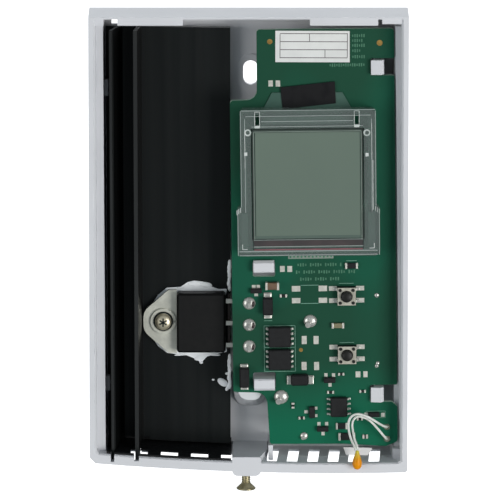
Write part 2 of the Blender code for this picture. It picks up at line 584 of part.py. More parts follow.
def thermistor():
    """The room sensor: a bead on two insulated leads that hangs in front of the bottom wall."""
    profile = [(0, 2.4), (0.35, 2.4), (0.55, 1.5), (0.95, 0.4), (1.18, -0.6), (1.1, -1.5), (0.75, -2.1),
               (0.3, -2.4), (0, -2.4)]
    turned("thermistor_bead", "bead_epoxy", (26.95, -21.7, -53.1), profile, steps=20)
    outer = [(34.45, 14.75, -46.2), (34.4, 15.6, -46.05), (33.4, 17.6, -45.3), (31.6, 18.6, -44.0), (29.9, 19.0, -42.9),
             (28.5, 19.2, -42.25), (27.1, 19.3, -41.95), (25.9, 19.4, -42.3), (25.05, 19.4, -43.3),
             (24.8, 19.5, -44.4), (24.9, 19.7, -46.0), (25.4, 20.3, -48.0), (26.2, 21.2, -49.6), (26.68, 21.6, -50.6)]
    inner = [(34.45, 14.75, -49.25), (34.4, 15.6, -49.1), (33.2, 17.4, -47.4), (31.7, 18.0, -45.5), (29.9, 18.3, -43.7),
             (28.5, 18.4, -43.0), (27.2, 18.5, -42.75), (26.2, 18.7, -43.3), (25.75, 18.9, -44.5),
             (25.9, 19.3, -46.2), (26.3, 20.2, -48.2), (26.95, 21.2, -49.6), (27.45, 21.65, -50.6)]
    wire("thermistor_lead_a", "lead_insulation", outer, LEAD_R)
    wire("thermistor_lead_b", "lead_insulation", inner, LEAD_R)
    film = [(24.3, -53.0), (29.7, -53.1), (30.9, -51.2), (23.6, -51.0)]
    plate("thermistor_film", "clear_plastic", [film], 16.5, 16.65, (27.1, -52.0))


def behind_board():
    """Parts on the back of the board, which the board hides."""
    box("film_capacitor", "capacitor_film", (-12, 3), (22, 30), (5.5, 12.9), BOARD)
    cylinder("electrolytic_capacitor", "black_epoxy", (-4.5, -8.6, 14), 4.0, 13, ALONG_X, BOARD)
    cylinder("varistor", "orange_ceramic", (10.5, -10.6, 20), 4.8, 4, on=BOARD)
    box("microcontroller", "black_epoxy", (2, 11), (2, 11), (11.5, 12.9), BOARD)
    for name, u in (("line_terminal_a", -4.5), ("line_terminal_b", 6.5)):
        terminal = box(name, "brass", (u - 2.5, u + 2.5), (-31.5, -26), (5.5, 12.9), BOARD)
        boolean(terminal, cylinder(f"{name}_hole", None, (u, -8.5, -28.75), 1.5, 9, ALONG_Z, BOARD))


rear_housing()
vent_liner()
heat_sink()
power_switch()
captive_screw()
circuit_board()
display()
switch("up", 7.1, -13.9)
switch("down", 7.1, -28.75)
board_parts()
thermistor()
behind_board()
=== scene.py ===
"""Looks for the wall thermostat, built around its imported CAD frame.

Lengths are in millimetres until a piece is finished. x is right, z up and d the depth forward of
the wall, so a point is (x, -d, z). Board pieces use u, v on the board, which sits slightly turned."""

from math import cos, pi, radians, sin

import bmesh
import bpy
from mathutils import Matrix, Vector


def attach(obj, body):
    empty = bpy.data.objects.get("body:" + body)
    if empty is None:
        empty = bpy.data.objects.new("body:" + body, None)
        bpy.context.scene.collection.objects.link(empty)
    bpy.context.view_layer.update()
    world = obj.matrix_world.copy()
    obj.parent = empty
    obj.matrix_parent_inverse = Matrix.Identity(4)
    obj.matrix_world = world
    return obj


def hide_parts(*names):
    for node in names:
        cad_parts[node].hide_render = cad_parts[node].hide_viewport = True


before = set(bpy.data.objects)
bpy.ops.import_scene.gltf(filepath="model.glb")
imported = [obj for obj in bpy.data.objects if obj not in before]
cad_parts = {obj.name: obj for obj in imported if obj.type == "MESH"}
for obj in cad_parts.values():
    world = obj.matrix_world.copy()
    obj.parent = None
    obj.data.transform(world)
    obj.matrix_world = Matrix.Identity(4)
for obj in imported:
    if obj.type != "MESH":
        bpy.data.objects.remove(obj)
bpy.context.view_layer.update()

MM = 0.001
BOARD = Matrix.Translation((17.0, 0, 1.0)) @ Matrix.Rotation(radians(-0.75), 4, "Y")
FRONT = 14.6                                     # depth of the board's front face
JOINT_X, JOINT_Z = 0.15, (-14.85, -20.3, -25.75)  # the power switch's three solder joints
TAB_HOLE = (-21.35, -20.85)                      # x and z of the power switch's screw
SWITCH_U, SWITCH_V = 7.1, {"up": -13.9, "down": -28.75}
DISPLAY_U = -2.25                                # middle of the display
DISPLAY_FRONT = 19.26                            # depth of the display's front face
FIN_TIPS_Y = -0.0154                             # metres: the fins stand further forward than this


def srgb(r, g, b):
    """A linear colour from 0 to 255 display values."""
    values = [c / 255 for c in (r, g, b)]
    return tuple(v / 12.92 if v <= 0.04045 else ((v + 0.055) / 1.055) ** 2.4 for v in values) + (1,)


# ---------------------------------------------------------------- materials
class Surface:
    """A Principled material and short ways to add procedural detail to it."""

    def __init__(self, name, color, roughness=0.5, metallic=0.0, specular=0.5):
        self.mat = bpy.data.materials.new(name)
        self.mat.use_nodes = True
        self.tree = self.mat.node_tree
        self.shader = self.tree.nodes["Principled BSDF"]
        self.color = color
        values = {"Base Color": color, "Roughness": roughness, "Metallic": metallic,
                  "Specular IOR Level": specular}
        for key, value in values.items():
            self.shader.inputs[key].default_value = value

    def node(self, kind, **values):
        made = self.tree.nodes.new(kind)
        for key, value in values.items():
            if key in made.inputs:
                made.inputs[key].default_value = value
            else:
                setattr(made, key, value)
        return made

    def link(self, a, b):
        self.tree.links.new(a, b)

    def along(self, axis, start, end):
        """0 at one place along an axis and 1 at another, in metres, with a straight run between them."""
        split = self.node("ShaderNodeSeparateXYZ")
        self.link(self.coords(), split.inputs["Vector"])
        spread = self.node("ShaderNodeMapRange")
        spread.inputs["From Min"].default_value = start
        spread.inputs["From Max"].default_value = end
        self.link(split.outputs[axis], spread.inputs["Value"])
        return spread.outputs["Result"]

    def coords(self, stretch=(1, 1, 1)):
        where = self.node("ShaderNodeTexCoord")
        mapping = self.node("ShaderNodeMapping")
        mapping.inputs["Scale"].default_value = stretch
        self.link(where.outputs["Object"], mapping.inputs["Vector"])
        return mapping.outputs["Vector"]

    def noise(self, scale, detail=3.0, stretch=(1, 1, 1), low=0.35, high=0.65):
        noise = self.node("ShaderNodeTexNoise", Scale=scale, Detail=detail)
        self.link(self.coords(stretch), noise.inputs["Vector"])
        spread = self.node("ShaderNodeMapRange")
        spread.inputs["From Min"].default_value = low
        spread.inputs["From Max"].default_value = high
        self.link(noise.outputs["Fac"], spread.inputs["Value"])
        return spread.outputs["Result"]

    def mix(self, factor, a, b):
        """Colour a where the factor is 0 and b where it is 1. Each is a colour or a socket."""
        mix = self.node("ShaderNodeMix", data_type="RGBA")
        color_a, color_b, color_out = mix.inputs[6], mix.inputs[7], mix.outputs[2]
        self.link(factor, mix.inputs["Factor"])
        for socket, value in ((color_a, a), (color_b, b)):
            if isinstance(value, tuple):
                socket.default_value = value
            else:
                self.link(value, socket)
        return color_out

    def paint(self, color):
        self.link(color, self.shader.inputs["Base Color"])
        return self

    def vary(self, scale, other):
        """Drifts softly between the base colour and another."""
        return self.paint(self.mix(self.noise(scale), self.color, other))

    def rough(self, scale, low, high, **how):
        """Drifts softly between two roughnesses."""
        spread = self.node("ShaderNodeMapRange")
        spread.inputs["To Min"].default_value = low
        spread.inputs["To Max"].default_value = high
        self.link(self.noise(scale, **how), spread.inputs["Value"])
        self.link(spread.outputs["Result"], self.shader.inputs["Roughness"])
        return self

    def bump(self, scale, strength, distance=0.00005):
        bump = self.node("ShaderNodeBump", Strength=strength, Distance=distance)
        self.link(self.noise(scale, low=0, high=1), bump.inputs["Height"])
        self.link(bump.outputs["Normal"], self.shader.inputs["Normal"])
        return self

    def facing(self, axis, least):
        """1 where the surface faces either way along an axis, and 0 elsewhere."""
        geometry = self.node("ShaderNodeNewGeometry")
        split = self.node("ShaderNodeSeparateXYZ")
        self.link(geometry.outputs["Normal"], split.inputs["Vector"])
        size = self.node("ShaderNodeMath", operation="ABSOLUTE")
        self.link(split.outputs[axis], size.inputs[0])
        test = self.node("ShaderNodeMath", operation="GREATER_THAN")
        test.inputs[1].default_value = least
        self.link(size.outputs["Value"], test.inputs[0])
        return test.outputs["Value"]


def see_through(name, tint, gloss, body, body_color):
    """Clear plastic: what is behind shows through, with a faint haze and a surface gloss."""
    mat = bpy.data.materials.new(name)
    mat.use_nodes = True
    tree = mat.node_tree
    tree.nodes.remove(tree.nodes["Principled BSDF"])
    clear = tree.nodes.new("ShaderNodeBsdfTransparent")
    clear.inputs["Color"].default_value = tint
    haze = tree.nodes.new("ShaderNodeBsdfDiffuse")
    haze.inputs["Color"].default_value = body_color
    shine = tree.nodes.new("ShaderNodeBsdfGlossy")
    shine.inputs["Roughness"].default_value = gloss
    first, second = tree.nodes.new("ShaderNodeMixShader"), tree.nodes.new("ShaderNodeMixShader")
    fresnel = tree.nodes.new("ShaderNodeFresnel")
    fresnel.inputs["IOR"].default_value = 1.49
    first.inputs["Fac"].default_value = body
    tree.links.new(clear.outputs[0], first.inputs[1])
    tree.links.new(haze.outputs[0], first.inputs[2])
    tree.links.new(fresnel.outputs[0], second.inputs["Fac"])
    tree.links.new(first.outputs[0], second.inputs[1])
    tree.links.new(shine.outputs[0], second.inputs[2])
    tree.links.new(second.outputs[0], tree.nodes["Material Output"].inputs["Surface"])
    return mat


def board_surface():
    """Green solder mask: copper pours show faintly through it, and its cut edges are pale."""
    s = Surface("board_mask", srgb(14, 80, 58), 0.42, specular=0.2)
    pours = s.mix(s.noise(45, 0.0, (1, 1, 0.6), 0.42, 0.58), srgb(22, 72, 52), srgb(14, 84, 62))
    # The mask turns a brighter, more saturated green towards the bottom of the board.
    greener_lower_part = s.mix(s.along("Z", -0.030, -0.046), pours, srgb(6, 100, 72))
    s.paint(s.mix(s.facing("Y", 0.6), srgb(196, 220, 200), greener_lower_part))
    return s.bump(600, 0.12, 0.00002).mat


def anodised_surface():
    """Black anodising: drawn along the fins, with painted shade on their sides, lighter on their tips and
    pale grey on their sawn ends.
    """
    s = Surface("anodised_black", srgb(13, 17, 17), 0.42, specular=0.2)
    grain_and_side_shade = s.mix(s.noise(400, stretch=(1, 1, 0.02)), srgb(12, 16, 16), srgb(16, 20, 20))
    # Painted shade: the sides of the plate and fins are darker than their fronts.
    grain_and_side_shade = s.mix(s.facing("X", 0.6), grain_and_side_shade, srgb(7, 8, 8))
    split = s.node("ShaderNodeSeparateXYZ")
    s.link(s.coords(), split.inputs["Vector"])
    # The fins' front tips are lighter.
    tips = s.node("ShaderNodeMath", operation="LESS_THAN")
    tips.inputs[1].default_value = FIN_TIPS_Y
    s.link(split.outputs["Y"], tips.inputs[0])
    lighter_tips = s.mix(s.noise(300, stretch=(1, 1, 0.05)), srgb(27, 29, 29), srgb(42, 44, 44))
    grain_and_side_shade = s.mix(tips.outputs["Value"], grain_and_side_shade, lighter_tips)
    s.paint(s.mix(s.facing("Z", 0.85), grain_and_side_shade, srgb(120, 122, 120)))
    return s.rough(500, 0.38, 0.5, stretch=(1, 1, 0.02)).mat


def bead_surface():
    """Orange epoxy that turns yellow towards the leads."""
    s = Surface("bead_epoxy", srgb(232, 144, 4), 0.4, specular=0.2)
    return s.paint(s.mix(s.along("Z", -0.0532, -0.0508), srgb(232, 146, 2), srgb(206, 192, 70))).mat


# look: material name, colour, roughness, metallic, specular, scale of the drift, colour it drifts to
PLAIN_LOOKS = {
    "tab": ("tab_metal", (228, 228, 214), 0.42, 0.35, 0.5, 500, (208, 208, 195)),
    "metal": ("plated_metal", (216, 215, 206), 0.3, 0.6, 0.5, 700, (190, 190, 182)),
    "cover": ("switch_cover", (214, 210, 194), 0.35, 0.5, 0.5, 700, (196, 192, 176)),
    "screw": ("screw_steel", (226, 217, 190), 0.36, 0.7, 0.5, 700, (190, 180, 152)),
    "dark_patch": ("joint_dark_patch", (52, 34, 34), 0.4, 0.0, 0.3, 900, (40, 28, 28)),
    "pads": ("tinned_pads", (218, 216, 206), 0.4, 0.35, 0.5, 900, (196, 196, 186)),
    "gold": ("gold_pads", (196, 158, 88), 0.35, 0.8, 0.5, 900, (170, 132, 70)),
    "zinc": ("zinc_screw", (182, 173, 141), 0.34, 0.85, 0.5, 600, (142, 133, 99)),
    "brass": ("brass", (196, 164, 98), 0.35, 0.9, 0.5, 700, (176, 146, 84)),
    "paper": ("label_paper", (228, 229, 226), 0.6, 0.0, 0.5, 300, (221, 222, 219)),
    "ink": ("label_ink", (58, 44, 46), 0.6, 0.0, 0.5, 900, (70, 56, 58)),
    "silk": ("silkscreen", (122, 166, 148), 0.55, 0.0, 0.5, 900, (104, 150, 130)),
    "silk_dim": ("silkscreen_dim", (74, 128, 100), 0.55, 0.0, 0.5, 900, (56, 108, 84)),
    "display": ("display", (107, 122, 110), 0.3, 0.0, 0.25, 25, (103, 118, 107)),
    "display_rim": ("display_rim", (96, 112, 103), 0.3, 0.0, 0.3, 60, (88, 104, 96)),
    # frame: the dark line round the display, and also the painted shade in the screw washer's gap and in
    # the screw recesses.
    "frame": ("display_edge", (30, 38, 35), 0.4, 0.0, 0.5, 300, (24, 31, 28)),
    # glint: painted highlights on the clear holder's edges and pins.
    "glint": ("clear_edge_painted_highlight", (214, 220, 216), 0.3, 0.0, 0.5, 400, (176, 186, 180)),
    "line": ("display_inner_line", (140, 152, 142), 0.4, 0.0, 0.5, 300, (130, 142, 132)),
    "reddish": ("display_lower_band", (74, 66, 66), 0.4, 0.0, 0.3, 200, (64, 60, 60)),
    "pink": ("display_edge_pink", (146, 96, 102), 0.4, 0.0, 0.3, 200, (130, 88, 93)),
    "flex": ("flex_film", (66, 96, 85), 0.35, 0.0, 0.4, 120, (56, 88, 76)),
    "brown": ("brown_ceramic", (112, 88, 66), 0.5, 0.0, 0.5, 900, (98, 76, 58)),
    "orange": ("orange_ceramic", (130, 124, 94), 0.5, 0.0, 0.5, 900, (118, 112, 86)),
    "dark_bar": ("dark_bar_behind_leads", (78, 66, 64), 0.5, 0.0, 0.3, 900, (64, 55, 53)),
    "wire": ("wire_insulation", (226, 228, 222), 0.4, 0.0, 0.5, 900, (212, 214, 206)),
    "yellow": ("capacitor_case", (196, 178, 70), 0.4, 0.0, 0.5, 300, (184, 166, 62)),
    "stem": ("switch_plunger", (24, 24, 22), 0.45, 0.0, 0.3, 900, (30, 30, 27)),
    "chip": ("chip_body", (24, 26, 26), 0.4, 0.0, 0.35, 900, (31, 33, 33)),
}


def materials():
    m = {look: Surface(name, srgb(*color), rough, metal, gloss).vary(scale, srgb(*other)).mat
         for look, (name, color, rough, metal, gloss, scale, other) in PLAIN_LOOKS.items()}
    s = Surface("housing_plastic", srgb(217, 218, 221), 0.5, specular=0.3)
    m["plastic"] = s.vary(60, srgb(212, 213, 216)).bump(5000, 0.08, 0.00002).mat
    s = Surface("solder", srgb(212, 210, 203), 0.26, 0.6)
    m["solder"] = s.vary(900, srgb(178, 177, 171)).bump(1500, 0.3).mat
    s = Surface("black_epoxy", srgb(18, 18, 19), 0.5, specular=0.3)
    m["epoxy"] = s.vary(900, srgb(24, 25, 26)).bump(3000, 0.15).mat
    s = Surface("triac_case", srgb(10, 10, 10), 0.45, specular=0.25)
    m["case"] = s.vary(700, srgb(15, 15, 14)).bump(2500, 0.15).mat
    s = Surface("black_tape", srgb(9, 9, 12), 0.5, specular=0.25)
    m["tape"] = s.bump(700, 0.3).rough(400, 0.4, 0.6).mat
    # Black sheet material: on the vent liner it is painted shade, a black sheet put where the inside of the
    # bottom wall lies in shadow; it also colours the captive ring.
    m["black_film"] = Surface("black_film", srgb(16, 17, 19), 0.5, specular=0.3).rough(900, 0.42, 0.6).mat
    m["paste"] = Surface("thermal_paste", srgb(244, 247, 249), 0.5).bump(900, 0.5, 0.0001).mat
    m["anodised"] = anodised_surface()
    m["board"] = board_surface()
    m["bead"] = bead_surface()
    m["clear"] = see_through("clear_plastic", (0.9, 0.96, 0.93, 1), 0.08, 0.13, (0.62, 0.72, 0.68, 1))
    # Hazy see-through strips that paint the light along the clear holder's edges.
    m["clear_edge"] = see_through("clear_edge", (0.8, 0.87, 0.84, 1), 0.15, 0.5, (0.66, 0.74, 0.71, 1))
    m["film"] = see_through("clear_film", (0.97, 0.97, 0.96, 1), 0.1, 0.72, (0.92, 0.92, 0.91, 1))
    m["drop"] = see_through("clear_drop", (0.9, 0.86, 0.72, 1), 0.1, 0.3, (0.7, 0.7, 0.55, 1))
    return m


M = materials()
CAD_LOOKS = {
    # The vent liner stands in for shade: a black sheet where the inside of the bottom wall lies in shadow.
    "rear_housing": "plastic", "vent_liner": "black_film", "heat_sink": "anodised", "triac_tab": "tab",
    "triac_body": "case", "triac_lead_1": "metal", "triac_lead_2": "metal", "triac_lead_3": "metal",
    "triac_screw": "screw", "triac_washer": "tab", "thermal_paste": "paste", "captive_screw": "zinc",
    "captive_ring": "black_film", "circuit_board": "board", "board_label": "paper", "lcd_holder": "clear",
    "lcd_glass": "display_rim", "lcd_polariser": "display", "lcd_reflector": "paper", "lcd_flex": "flex",
    "flex_tape": "tape", "ceramic_capacitor": "brown", "orange_capacitor": "orange",
    "thermistor_bead": "bead", "thermistor_lead_a": "wire", "thermistor_lead_b": "wire",
    "thermistor_film": "film", "film_capacitor": "yellow", "electrolytic_capacitor": "epoxy",
    "varistor": "orange", "line_terminal_a": "brass", "line_terminal_b": "brass",
    "up_switch_cover": "cover", "down_switch_cover": "cover", "up_switch_plunger": "stem",
    "down_switch_plunger": "stem", "up_switch_dome": "metal", "down_switch_dome": "metal",
}
for name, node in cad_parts.items():
    node.data.materials.clear()
    node.data.materials.append(M[CAD_LOOKS.get(name, "epoxy")])


# ---------------------------------------------------------------- shapes
def cube(bm, x, z, w, h, d0, d1, turn=0.0):
    """A box centred on x and z, from depth d0 to d1."""
    place = Matrix.Translation((x, -(d0 + d1) / 2, z)) @ Matrix.Rotation(-turn, 4, "Y")
    bmesh.ops.create_cube(bm, size=1, matrix=place @ Matrix.Diagonal((w, d1 - d0, h, 1)))


def disc(bm, x, z, r, d0, d1, top=None, n=24):
    """A round piece along d, tapering to another radius at the front."""
    turn = Matrix.Rotation(pi / 2, 4, "X")
    place = Matrix.Translation((x, -(d0 + d1) / 2, z)) @ turn
    bmesh.ops.create_cone(bm, cap_ends=True, segments=n, radius1=r, radius2=r if top is None else top,
                          depth=d1 - d0, matrix=place)


def blob(bm, x, z, rx, rz, d0, height, turn=0.0):
    """A flattened ball whose middle is on the surface at depth d0."""
    place = Matrix.Translation((x, -d0, z)) @ Matrix.Rotation(-turn, 4, "Y")
    bmesh.ops.create_uvsphere(bm, u_segments=16, v_segments=8, radius=1,
                              matrix=place @ Matrix.Diagonal((rx, height, rz, 1)))


def ring(bm, x, z, inner, outer, d0, d1, gap=0.0, n=28):
    """A flat ring that faces along d, whole or with a gap at the right."""
    angles = [gap / 2 + (2 * pi - gap) * i / (n - 1 if gap else n) for i in range(n)]
    loops = [[bm.verts.new((x + r * cos(a), -d, z + r * sin(a))) for a in angles]
             for r, d in ((inner, d0), (outer, d0), (outer, d1), (inner, d1))]
    for a, b in zip(loops, loops[1:] + loops[:1]):
        for i in range(n - 1 if gap else n):
            j = (i + 1) % n
            bm.faces.new((a[i], a[j], b[j], b[i]))
    if gap:
        bm.faces.new([loop[0] for loop in loops])
        bm.faces.new([loop[-1] for loop in loops])


def piece(name, bm, look, body="housing", on_board=True, smooth=False, bevel=0.0,
          stands_for=()):
    """Finishes a piece: millimetres to metres, its material, and the CAD body that it rides on."""
    mesh = bpy.data.meshes.new(name)
    bmesh.ops.recalc_face_normals(bm, faces=bm.faces)
    bm.to_mesh(mesh)
    bm.free()
    mesh.transform(Matrix.Scale(MM, 4) @ (BOARD if on_board else Matrix.Identity(4)))
    ob = bpy.data.objects.new(name, mesh)
    bpy.context.scene.collection.objects.link(ob)
    mesh.materials.append(M[look])
    if smooth:
        mesh.shade_smooth()
        mesh.set_sharp_from_angle(angle=radians(40))
    if bevel:
        rounding = ob.modifiers.new("edges", "BEVEL")
        rounding.width = bevel * MM
        rounding.segments = 2
        rounding.limit_method = "ANGLE"
    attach(ob, body)
    if stands_for:
        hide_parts(*stands_for)


def turned(name, x, other, profile, look, axis="z", body="housing", on_board=False, n=32,
           stands_for=()):
    """A profile of (radius, position along the axis) turned about an axis along z, or along d.

    other is where the axis lies across that: its depth d for z, and its height z for d."""
    bm = bmesh.new()
    rings = []
    angles = [2 * pi * i / n for i in range(n)]
    for r, h in profile:
        if axis == "z":
            rings.append([bm.verts.new((x + r * cos(a), -other + r * sin(a), h)) for a in angles])
        else:
            rings.append([bm.verts.new((x + r * cos(a), -h, other + r * sin(a))) for a in angles])
    for low, high in zip(rings, rings[1:]):
        for i in range(n):
            j = (i + 1) % n
            bm.faces.new((low[i], low[j], high[j], high[i]))
    bm.faces.new(rings[0])
    bm.faces.new(rings[-1])
    piece(name, bm, look, body, on_board, smooth=True, stands_for=stands_for)


def wire(name, points, r, look, stands_for):
    """A round wire through points (x, d, z)."""
    curve = bpy.data.curves.new(name, "CURVE")
    curve.dimensions = "3D"
    curve.bevel_depth = r * MM
    curve.bevel_resolution = 3
    curve.use_fill_caps = True
    curve.resolution_u = 6
    line = curve.splines.new("BEZIER")
    line.bezier_points.add(len(points) - 1)
    for knot, (x, d, z) in zip(line.bezier_points, points):
        knot.co = Vector((x, -d, z)) * MM
        knot.handle_left_type = knot.handle_right_type = "AUTO"
    curve.materials.append(M[look])
    ob = bpy.data.objects.new(name, curve)
    bpy.context.scene.collection.objects.link(ob)
    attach(ob, "housing")
    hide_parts(*stands_for)


# ---------------------------------------------------------------- board surface
def pads():
    """Bare tinned pads, those that show round components, and three gold dots."""
    flat = [(-8.72, -7.05, 1.2, 1.5), (-6.9, -7.08, 1.2, 1.5), (-15.85, -11.45, 0.95, 0.9),
            (-14.75, -11.45, 0.85, 0.9), (-15.3, -13.4, 0.9, 0.9), (-3.5, -25.1, 1.25, 2.05),
            (-0.55, -25.15, 1.25, 2.05), (-3.6, -31.7, 1.25, 2.05), (-0.5, -31.75, 1.25, 2.05),
            (9.8, -34.0, 1.2, 1.5), (11.65, -34.0, 1.05, 1.5), (1.8, -34.05, 0.8, 0.9),
            (3.7, -34.1, 0.8, 0.9), (2.8, -36.6, 0.8, 0.9), (-0.85, -42.5, 0.9, 0.75),
            (-0.85, -44.4, 0.9, 0.75), (-3.2, -43.4, 0.9, 0.75), (-0.05, -46.5, 0.8, 0.9),
            (1.85, -46.5, 0.8, 0.9), (0.95, -49.0, 0.8, 0.9), (11.75, -44.3, 0.9, 1.0),
            (15.9, -44.4, 0.9, 1.0)]
    for u in (-5.4, 1.25):
        flat += [(u, -12.1, 2.1, 1.4), (u, -15.1, 2.1, 1.3)]
    for centre in SWITCH_V.values():
        flat += [(u, centre + dv, 2.0, 1.15) for u in (3.75, 10.5) for dv in (1.75, -1.3)]
    bm = bmesh.new()
    for u, v, w, h in flat:
        cube(bm, u, v, w, h, FRONT - 0.02, FRONT + 0.04)
    piece("tinned_pads", bm, "pads")
    bm = bmesh.new()
    for u, v, w, h in ((-11.07, 39.35, 1.1, 1.5), (-9.28, 39.32, 1.1, 1.5)):
        cube(bm, u, v, w, h, FRONT - 0.02, FRONT + 0.03)
    piece("upper_pads", bm, "pads")
    bm = bmesh.new()
    for u, v, r in ((-11.16, 49.7, 0.65), (15.78, 49.05, 0.72), (-4.35, -27.6, 0.5)):
        disc(bm, u, v, r, FRONT - 0.02, FRONT + 0.03)
    piece("gold_dots", bm, "gold", smooth=True)


def legs():
    """Metal ends of the components: chip and switch legs, rectifier terminals and end caps."""
    pitch = 1.27
    bm = bmesh.new()
    for u, v, w, reach, h in ((-9.6, -24.0, 5.6, 0.35, 0.58), (-9.65, -29.75, 5.6, 0.35, 0.58),
                              (4.95, -42.05, 4.1, 0.7, 0.44)):
        for k in range(4):
            leg_v = v + pitch * (1.5 - k)
            for side in (-1, 1):
                at = u + side * w / 2
                foot = at + side * (0.15 + reach / 2)
                cube(bm, at + side * 0.08, leg_v, 0.4, h * 0.8, FRONT + 0.8, FRONT + 0.98)
                cube(bm, at + side * 0.24, leg_v, 0.16, h * 0.8, FRONT + 0.1, FRONT + 0.98)
                cube(bm, foot, leg_v, reach + 0.15, h, FRONT + 0.05, FRONT + 0.25)
    piece("chip_legs", bm, "metal", bevel=0.04)
    bm = bmesh.new()
    for v in SWITCH_V.values():
        for side in (-1, 1):
            for dv in (1.6, -1.4):
                cube(bm, SWITCH_U + side * 2.75, v + dv, 1.0, 0.75, FRONT + 0.06, FRONT + 0.25)
                cube(bm, SWITCH_U + side * 2.36, v + dv, 0.1, 0.75, FRONT + 0.06, FRONT + 1.2)
    piece("switch_legs", bm, "metal", bevel=0.04)
    bm = bmesh.new()
    for u, v, w, h in ((-12.44, -13.55, 1.9, 1.3), (-12.44, -18.95, 1.9, 1.1), (-7.35, -35.2, 1.1, 2.2),
                       (-1.95, -35.2, 1.4, 2.2), (-18.5, -31.45, 1.9, 1.0), (-18.5, -37.05, 1.9, 0.9)):
        cube(bm, u, v, w, h, FRONT + 0.03, FRONT + 0.35)
        cube(bm, u, v, w * 0.8, h * 0.8, FRONT + 0.3, FRONT + 0.8)
    piece("rectifier_terminals", bm, "metal", bevel=0.08)
    bm = bmesh.new()
    for u, v, w, h, top in ((-11.3, -11.15, 3.35, 1.85, 1.72), (4.9, -21.45, 3.05, 1.35, 0.92),
                            (8.4, -6.4, 3.15, 1.5, 0.72), (6.85, -49.75, 4.15, 1.9, 0.72)):
        for side in (-1, 1):
            cube(bm, u + side * (w / 2 - 0.24), v, 0.5, h, FRONT + 0.03, FRONT + top)
    piece("chip_end_caps", bm, "pads", bevel=0.05)


def chip_resistors():
    """Tiny chip resistors and capacitors: u, v, width, height, and whether the ends are above and below."""
    small = [(-8.54, -13.8, 1.8, 0.8, 0), (5.6, -33.85, 1.55, 0.7, 0), (2.9, -38.45, 1.7, 0.7, 0),
             (10.9, -38.3, 1.6, 0.7, 0), (-6.48, -41.7, 0.7, 1.45, 1), (-4.35, -44.9, 1.55, 0.7, 0),
             (10.15, -45.35, 1.55, 0.7, 0), (5.6, -47.1, 2.85, 1.6, 0), (11.45, -49.85, 1.35, 1.0, 0)]
    body, ends = bmesh.new(), bmesh.new()
    for u, v, w, h, upright in small:
        cube(body, u, v, w - 0.1, h - 0.1, FRONT + 0.03, FRONT + 0.42)
        reach = (h if upright else w) / 2 - 0.22
        for side in (-1, 1):
            if upright:
                cube(ends, u, v + side * reach, w, 0.44, FRONT + 0.02, FRONT + 0.46)
            else:
                cube(ends, u + side * reach, v, 0.44, h, FRONT + 0.02, FRONT + 0.46)
    piece("chip_resistor_bodies", body, "chip", bevel=0.04)
    piece("chip_resistor_ends", ends, "pads", bevel=0.04)


def solder_joints():
    """Domed joints with the cut ends of leads, and clear drops where the sensor's leads go in."""
    inverse = BOARD.inverted()
    bm, dark = bmesh.new(), bmesh.new()
    for z in JOINT_Z:
        u, _, v = inverse @ Vector((JOINT_X, 0, z))
        blob(bm, u, v, 1.58, 1.6, FRONT, 0.75)
        cube(bm, u - 0.1, v - 0.2, 0.5, 0.9, FRONT + 0.3, FRONT + 1.3)
        # A dark brown patch on the right side of each of the three big joints.
        blob(dark, u + 0.9, v - 0.1, 0.45, 0.75, FRONT + 0.5, 0.2)
    for u, v, r, stub in ((-1.95, -20.3, 1.65, 2.0), (-9.4, -39.5, 1.8, 2.2), (-3.8, -49.55, 0.97, 1.0)):
        blob(bm, u, v, r, r, FRONT, r * 0.5)
        disc(bm, u - 0.36 * r, v - 0.4 * r, 0.46 * r, FRONT + 0.2, FRONT + stub, 0.42 * r)
    for u, v, r in ((14.6, -14.0, 0.6), (14.7, -31.25, 0.5), (14.45, -31.9, 0.5)):
        blob(bm, u, v, r, r, FRONT, 0.3)
    piece("solder_joints", bm, "solder", smooth=True)
    piece("joint_dark_patches", dark, "dark_patch", smooth=True)
    bm = bmesh.new()
    for v in (-47.5, -50.6):
        blob(bm, 16.9, v, 0.85, 0.8, FRONT, 0.45)
    piece("lead_joints", bm, "drop", smooth=True)


def outline(bm, u, v, w, h, line=0.13, d=FRONT + 0.02):
    """The four thin sides of a rectangle, up to depth d."""
    for side in (-1, 1):
        cube(bm, u, v + side * h / 2, w + line, line, d - 0.03, d)
        cube(bm, u + side * w / 2, v, line, h + line, d - 0.03, d)


def silkscreen():
    """Printed outlines, and rows of plain dashes in place of the printed lettering."""
    low, high = FRONT - 0.01, FRONT + 0.02
    bm = bmesh.new()
    outline(bm, -9.6, -27.2, 7.7, 11.6)
    cube(bm, -9.6, -26.9, 7.7, 0.13, low, high)
    for v in (-11.25, -15.85):
        cube(bm, -2.05, v, 4.4, 0.15, low, high)
    outline(bm, 14.1, -44.3, 4.8, 1.7, 0.1)
    for u, v, w in ((8.4, -5.2, 2.6), (-12.4, -20.1, 2.0), (7.1, -10.9, 3.6), (7.1, -25.9, 3.6)):
        cube(bm, u, v, w, 0.12, low, high)
    piece("silkscreen_lines", bm, "silk")
    bm = bmesh.new()
    for row, (v, start, count) in enumerate(((-6.1, -4.8, 18), (-7.9, -5.2, 24), (-9.7, -4.8, 17))):
        for k in range(count):
            if (k + 2 * row) % 6 == 4:
                continue
            tall = 0.85 if (k * 5 + row) % 3 else 0.55
            cube(bm, start + 0.62 * k, v, 0.34, tall, low, high)
    for v, start, count in ((50.9, 9.2, 6), (49.7, 9.2, 5), (48.5, 9.2, 6), (47.2, 9.2, 4),
                            (45.7, 9.2, 6), (43.7, 3.6, 16)):
        for k in range(count):
            cube(bm, start + 0.55 * k, v, 0.3, 0.8 if k % 3 else 0.55, low, high)
    piece("silkscreen_marks", bm, "silk_dim")


